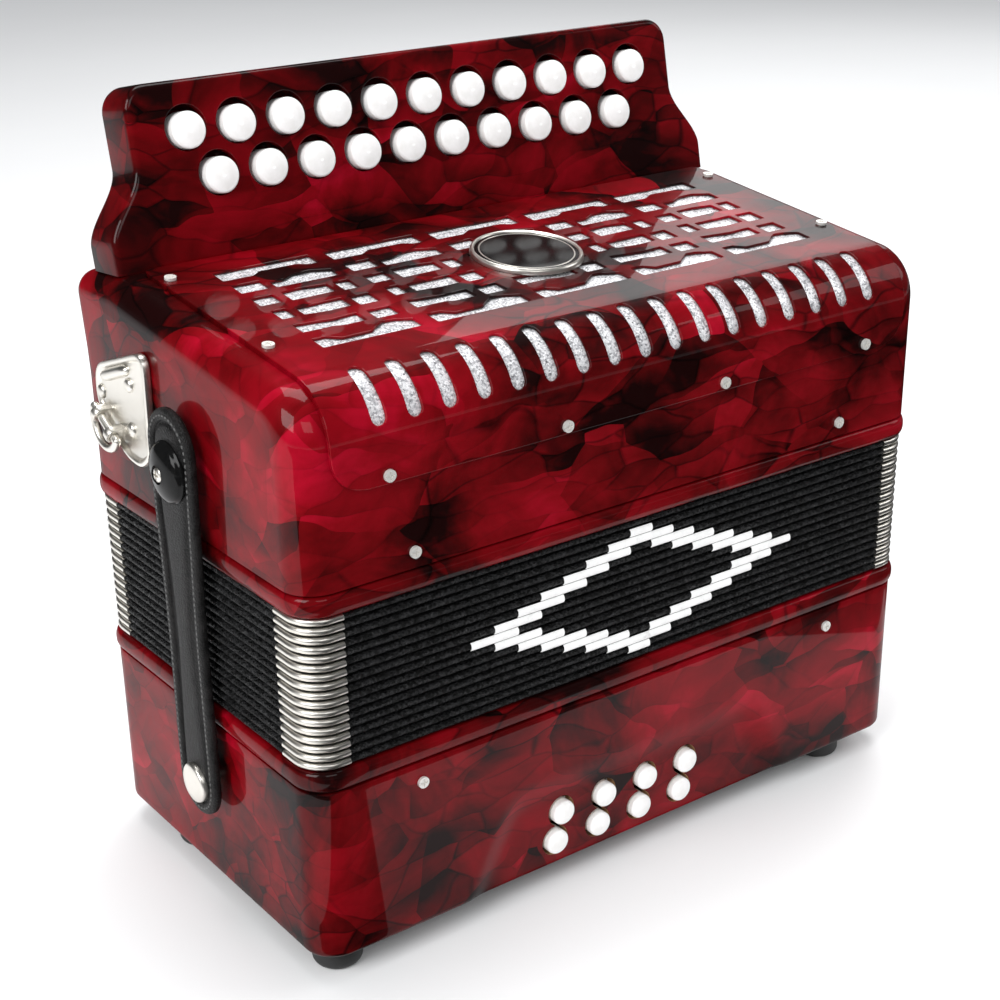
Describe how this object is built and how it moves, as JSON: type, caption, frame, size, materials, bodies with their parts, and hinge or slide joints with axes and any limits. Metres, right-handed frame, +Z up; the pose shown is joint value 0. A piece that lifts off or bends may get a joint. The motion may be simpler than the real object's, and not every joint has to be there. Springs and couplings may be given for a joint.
{
  "type": "button accordion",
  "caption": "Diatonic button accordion standing on its bass end: red pearl boxes, folded bellows, raised fingerboard, round buttons, fretwork grille and side straps.",
  "frame": {"origin": "centre of the footprint, on the floor under the rubber feet", "axes": "+X across the front, to the viewer's right; +Y from the front face with the bass buttons towards the fingerboard; +Z up, from the bass end to the treble end"},
  "size_m": [0.2992, 0.1562, 0.2864],
  "materials": {
    "red": "glossy dark red pearl celluloid over wood",
    "wood": "plain sanded",
    "black_board": "matt black",
    "steel": "satin nickel",
    "rubber": "black",
    "leather": "black, stitched",
    "bellows_cloth": "black, woven over cardboard",
    "white_tape": "white tape",
    "cloth": "silver sparkle gauze",
    "badge": "black with a silver rim",
    "button": "white, polished"
  },
  "bodies": {
    "bass": {"bass_box": "red", "bass_end_plate": "black_board", "bass_pallet_board": "wood", "bass_reed_block": "wood", "bass_key_axles": "steel", "rubber_feet": "rubber", "hand_strap": "leather", "lower_bellows_frame": "red", "strap_studs": "steel", "bass_pins": "steel", "bellows_folds": "bellows_cloth", "bellows_corners": "steel", "bellows_strips": "white_tape"},
    "treble": {"upper_bellows_frame": "red", "treble_box": "red", "treble_pallet_board": "wood", "treble_reed_blocks": "wood", "treble_key_axle": "steel", "fingerboard": "red", "fingerboard_back": "red", "grille": "red", "grille_cloth": "cloth", "grille_badge": "badge", "grille_screws": "steel", "treble_pins": "steel", "strap_brackets": "steel"},
    "treble_key_outer_1": {"treble_key_outer_1": "button"},
    "treble_key_outer_2": {"treble_key_outer_2": "button"},
    "treble_key_outer_3": {"treble_key_outer_3": "button"},
    "treble_key_outer_4": {"treble_key_outer_4": "button"},
    "treble_key_outer_5": {"treble_key_outer_5": "button"},
    "treble_key_outer_6": {"treble_key_outer_6": "button"},
    "treble_key_outer_7": {"treble_key_outer_7": "button"},
    "treble_key_outer_8": {"treble_key_outer_8": "button"},
    "treble_key_outer_9": {"treble_key_outer_9": "button"},
    "treble_key_outer_10": {"treble_key_outer_10": "button"},
    "treble_key_outer_11": {"treble_key_outer_11": "button"},
    "treble_key_inner_1": {"treble_key_inner_1": "button"},
    "treble_key_inner_2": {"treble_key_inner_2": "button"},
    "treble_key_inner_3": {"treble_key_inner_3": "button"},
    "treble_key_inner_4": {"treble_key_inner_4": "button"},
    "treble_key_inner_5": {"treble_key_inner_5": "button"},
    "treble_key_inner_6": {"treble_key_inner_6": "button"},
    "treble_key_inner_7": {"treble_key_inner_7": "button"},
    "treble_key_inner_8": {"treble_key_inner_8": "button"},
    "treble_key_inner_9": {"treble_key_inner_9": "button"},
    "treble_key_inner_10": {"treble_key_inner_10": "button"},
    "bass_key_lower_1": {"bass_key_lower_1": "button"},
    "bass_key_lower_2": {"bass_key_lower_2": "button"},
    "bass_key_lower_3": {"bass_key_lower_3": "button"},
    "bass_key_lower_4": {"bass_key_lower_4": "button"},
    "bass_key_upper_1": {"bass_key_upper_1": "button"},
    "bass_key_upper_2": {"bass_key_upper_2": "button"},
    "bass_key_upper_3": {"bass_key_upper_3": "button"},
    "bass_key_upper_4": {"bass_key_upper_4": "button"},
    "air_key": {"air_key": "button"},
    "bellows_strap_left": {"bellows_strap_left": "leather"},
    "strap_ring_left": {"strap_ring_left": "steel"},
    "bellows_strap_right": {"bellows_strap_right": "leather"},
    "strap_ring_right": {"strap_ring_right": "steel"}
  },
  "joints": [
    {"name": "bellows_slide", "type": "slide", "parent": "bass", "child": "treble", "axis": [0, 0, 1], "range_m": [0, 0.255], "deforming": ["bellows_folds", "bellows_corners", "bellows_strips"]},
    {"name": "treble_key_outer_1_hinge", "type": "hinge", "parent": "treble", "child": "treble_key_outer_1", "pos_m": [0, 0.05675, 0.2071], "axis": [-1, 0, 0], "range_deg": [0, 3.2], "stiffness_Nm_per_rad": 0.6, "springref_deg": -1.15},
    {"name": "treble_key_outer_2_hinge", "type": "hinge", "parent": "treble", "child": "treble_key_outer_2", "pos_m": [0, 0.05675, 0.2071], "axis": [-1, 0, 0], "range_deg": [0, 3.2], "stiffness_Nm_per_rad": 0.6, "springref_deg": -1.15},
    {"name": "treble_key_outer_3_hinge", "type": "hinge", "parent": "treble", "child": "treble_key_outer_3", "pos_m": [0, 0.05675, 0.2071], "axis": [-1, 0, 0], "range_deg": [0, 3.2], "stiffness_Nm_per_rad": 0.6, "springref_deg": -1.15},
    {"name": "treble_key_outer_4_hinge", "type": "hinge", "parent": "treble", "child": "treble_key_outer_4", "pos_m": [0, 0.05675, 0.2071], "axis": [-1, 0, 0], "range_deg": [0, 3.2], "stiffness_Nm_per_rad": 0.6, "springref_deg": -1.15},
    {"name": "treble_key_outer_5_hinge", "type": "hinge", "parent": "treble", "child": "treble_key_outer_5", "pos_m": [0, 0.05675, 0.2071], "axis": [-1, 0, 0], "range_deg": [0, 3.2], "stiffness_Nm_per_rad": 0.6, "springref_deg": -1.15},
    {"name": "treble_key_outer_6_hinge", "type": "hinge", "parent": "treble", "child": "treble_key_outer_6", "pos_m": [0, 0.05675, 0.2071], "axis": [-1, 0, 0], "range_deg": [0, 3.2], "stiffness_Nm_per_rad": 0.6, "springref_deg": -1.15},
    {"name": "treble_key_outer_7_hinge", "type": "hinge", "parent": "treble", "child": "treble_key_outer_7", "pos_m": [0, 0.05675, 0.2071], "axis": [-1, 0, 0], "range_deg": [0, 3.2], "stiffness_Nm_per_rad": 0.6, "springref_deg": -1.15},
    {"name": "treble_key_outer_8_hinge", "type": "hinge", "parent": "treble", "child": "treble_key_outer_8", "pos_m": [0, 0.05675, 0.2071], "axis": [-1, 0, 0], "range_deg": [0, 3.2], "stiffness_Nm_per_rad": 0.6, "springref_deg": -1.15},
    {"name": "treble_key_outer_9_hinge", "type": "hinge", "parent": "treble", "child": "treble_key_outer_9", "pos_m": [0, 0.05675, 0.2071], "axis": [-1, 0, 0], "range_deg": [0, 3.2], "stiffness_Nm_per_rad": 0.6, "springref_deg": -1.15},
    {"name": "treble_key_outer_10_hinge", "type": "hinge", "parent": "treble", "child": "treble_key_outer_10", "pos_m": [0, 0.05675, 0.2071], "axis": [-1, 0, 0], "range_deg": [0, 3.2], "stiffness_Nm_per_rad": 0.6, "springref_deg": -1.15},
    {"name": "treble_key_outer_11_hinge", "type": "hinge", "parent": "treble", "child": "treble_key_outer_11", "pos_m": [0, 0.05675, 0.2071], "axis": [-1, 0, 0], "range_deg": [0, 3.2], "stiffness_Nm_per_rad": 0.6, "springref_deg": -1.15},
    {"name": "treble_key_inner_1_hinge", "type": "hinge", "parent": "treble", "child": "treble_key_inner_1", "pos_m": [0, 0.05675, 0.2071], "axis": [-1, 0, 0], "range_deg": [0, 4.4], "stiffness_Nm_per_rad": 0.6, "springref_deg": -1.15},
    {"name": "treble_key_inner_2_hinge", "type": "hinge", "parent": "treble", "child": "treble_key_inner_2", "pos_m": [0, 0.05675, 0.2071], "axis": [-1, 0, 0], "range_deg": [0, 4.4], "stiffness_Nm_per_rad": 0.6, "springref_deg": -1.15},
    {"name": "treble_key_inner_3_hinge", "type": "hinge", "parent": "treble", "child": "treble_key_inner_3", "pos_m": [0, 0.05675, 0.2071], "axis": [-1, 0, 0], "range_deg": [0, 4.4], "stiffness_Nm_per_rad": 0.6, "springref_deg": -1.15},
    {"name": "treble_key_inner_4_hinge", "type": "hinge", "parent": "treble", "child": "treble_key_inner_4", "pos_m": [0, 0.05675, 0.2071], "axis": [-1, 0, 0], "range_deg": [0, 4.4], "stiffness_Nm_per_rad": 0.6, "springref_deg": -1.15},
    {"name": "treble_key_inner_5_hinge", "type": "hinge", "parent": "treble", "child": "treble_key_inner_5", "pos_m": [0, 0.05675, 0.2071], "axis": [-1, 0, 0], "range_deg": [0, 4.4], "stiffness_Nm_per_rad": 0.6, "springref_deg": -1.15},
    {"name": "treble_key_inner_6_hinge", "type": "hinge", "parent": "treble", "child": "treble_key_inner_6", "pos_m": [0, 0.05675, 0.2071], "axis": [-1, 0, 0], "range_deg": [0, 4.4], "stiffness_Nm_per_rad": 0.6, "springref_deg": -1.15},
    {"name": "treble_key_inner_7_hinge", "type": "hinge", "parent": "treble", "child": "treble_key_inner_7", "pos_m": [0, 0.05675, 0.2071], "axis": [-1, 0, 0], "range_deg": [0, 4.4], "stiffness_Nm_per_rad": 0.6, "springref_deg": -1.15},
    {"name": "treble_key_inner_8_hinge", "type": "hinge", "parent": "treble", "child": "treble_key_inner_8", "pos_m": [0, 0.05675, 0.2071], "axis": [-1, 0, 0], "range_deg": [0, 4.4], "stiffness_Nm_per_rad": 0.6, "springref_deg": -1.15},
    {"name": "treble_key_inner_9_hinge", "type": "hinge", "parent": "treble", "child": "treble_key_inner_9", "pos_m": [0, 0.05675, 0.2071], "axis": [-1, 0, 0], "range_deg": [0, 4.4], "stiffness_Nm_per_rad": 0.6, "springref_deg": -1.15},
    {"name": "treble_key_inner_10_hinge", "type": "hinge", "parent": "treble", "child": "treble_key_inner_10", "pos_m": [0, 0.05675, 0.2071], "axis": [-1, 0, 0], "range_deg": [0, 4.4], "stiffness_Nm_per_rad": 0.6, "springref_deg": -1.15},
    {"name": "bass_key_lower_1_hinge", "type": "hinge", "parent": "bass", "child": "bass_key_lower_1", "pos_m": [0, -0.05925, 0.0495], "axis": [1, 0, 0], "range_deg": [0, 5], "stiffness_Nm_per_rad": 0.3, "springref_deg": -2.86},
    {"name": "bass_key_lower_2_hinge", "type": "hinge", "parent": "bass", "child": "bass_key_lower_2", "pos_m": [0, -0.05925, 0.0495], "axis": [1, 0, 0], "range_deg": [0, 5], "stiffness_Nm_per_rad": 0.3, "springref_deg": -2.86},
    {"name": "bass_key_lower_3_hinge", "type": "hinge", "parent": "bass", "child": "bass_key_lower_3", "pos_m": [0, -0.05925, 0.0495], "axis": [1, 0, 0], "range_deg": [0, 5], "stiffness_Nm_per_rad": 0.3, "springref_deg": -2.86},
    {"name": "bass_key_lower_4_hinge", "type": "hinge", "parent": "bass", "child": "bass_key_lower_4", "pos_m": [0, -0.05925, 0.0495], "axis": [1, 0, 0], "range_deg": [0, 5], "stiffness_Nm_per_rad": 0.3, "springref_deg": -2.86},
    {"name": "bass_key_upper_1_hinge", "type": "hinge", "parent": "bass", "child": "bass_key_upper_1", "pos_m": [0, -0.05925, 0.0495], "axis": [1, 0, 0], "range_deg": [0, 5.5], "stiffness_Nm_per_rad": 0.3, "springref_deg": -2.86},
    {"name": "bass_key_upper_2_hinge", "type": "hinge", "parent": "bass", "child": "bass_key_upper_2", "pos_m": [0, -0.05925, 0.0495], "axis": [1, 0, 0], "range_deg": [0, 5.5], "stiffness_Nm_per_rad": 0.3, "springref_deg": -2.86},
    {"name": "bass_key_upper_3_hinge", "type": "hinge", "parent": "bass", "child": "bass_key_upper_3", "pos_m": [0, -0.05925, 0.0495], "axis": [1, 0, 0], "range_deg": [0, 5.5], "stiffness_Nm_per_rad": 0.3, "springref_deg": -2.86},
    {"name": "bass_key_upper_4_hinge", "type": "hinge", "parent": "bass", "child": "bass_key_upper_4", "pos_m": [0, -0.05925, 0.0495], "axis": [1, 0, 0], "range_deg": [0, 5.5], "stiffness_Nm_per_rad": 0.3, "springref_deg": -2.86},
    {"name": "air_key_hinge", "type": "hinge", "parent": "bass", "child": "air_key", "pos_m": [0, 0.05925, 0.0495], "axis": [-1, 0, 0], "range_deg": [0, 4], "stiffness_Nm_per_rad": 0.3, "springref_deg": -2.86},
    {"name": "bellows_strap_left_swing", "type": "hinge", "parent": "treble", "child": "bellows_strap_left", "pos_m": [-0.1451, -0.00425, 0.1711], "axis": [1, 0, 0], "range_deg": [-90, 40]},
    {"name": "strap_ring_left_swing", "type": "hinge", "parent": "treble", "child": "strap_ring_left", "pos_m": [-0.1456, 0.04475, 0.1741], "axis": [0, 0.866, 0.5], "range_deg": [0, 110]},
    {"name": "bellows_strap_right_swing", "type": "hinge", "parent": "treble", "child": "bellows_strap_right", "pos_m": [0.1451, -0.00425, 0.1711], "axis": [1, 0, 0], "range_deg": [-90, 40]},
    {"name": "strap_ring_right_swing", "type": "hinge", "parent": "treble", "child": "strap_ring_right", "pos_m": [0.1456, 0.04475, 0.1741], "axis": [0, -0.866, -0.5], "range_deg": [0, 110]}
  ]
}
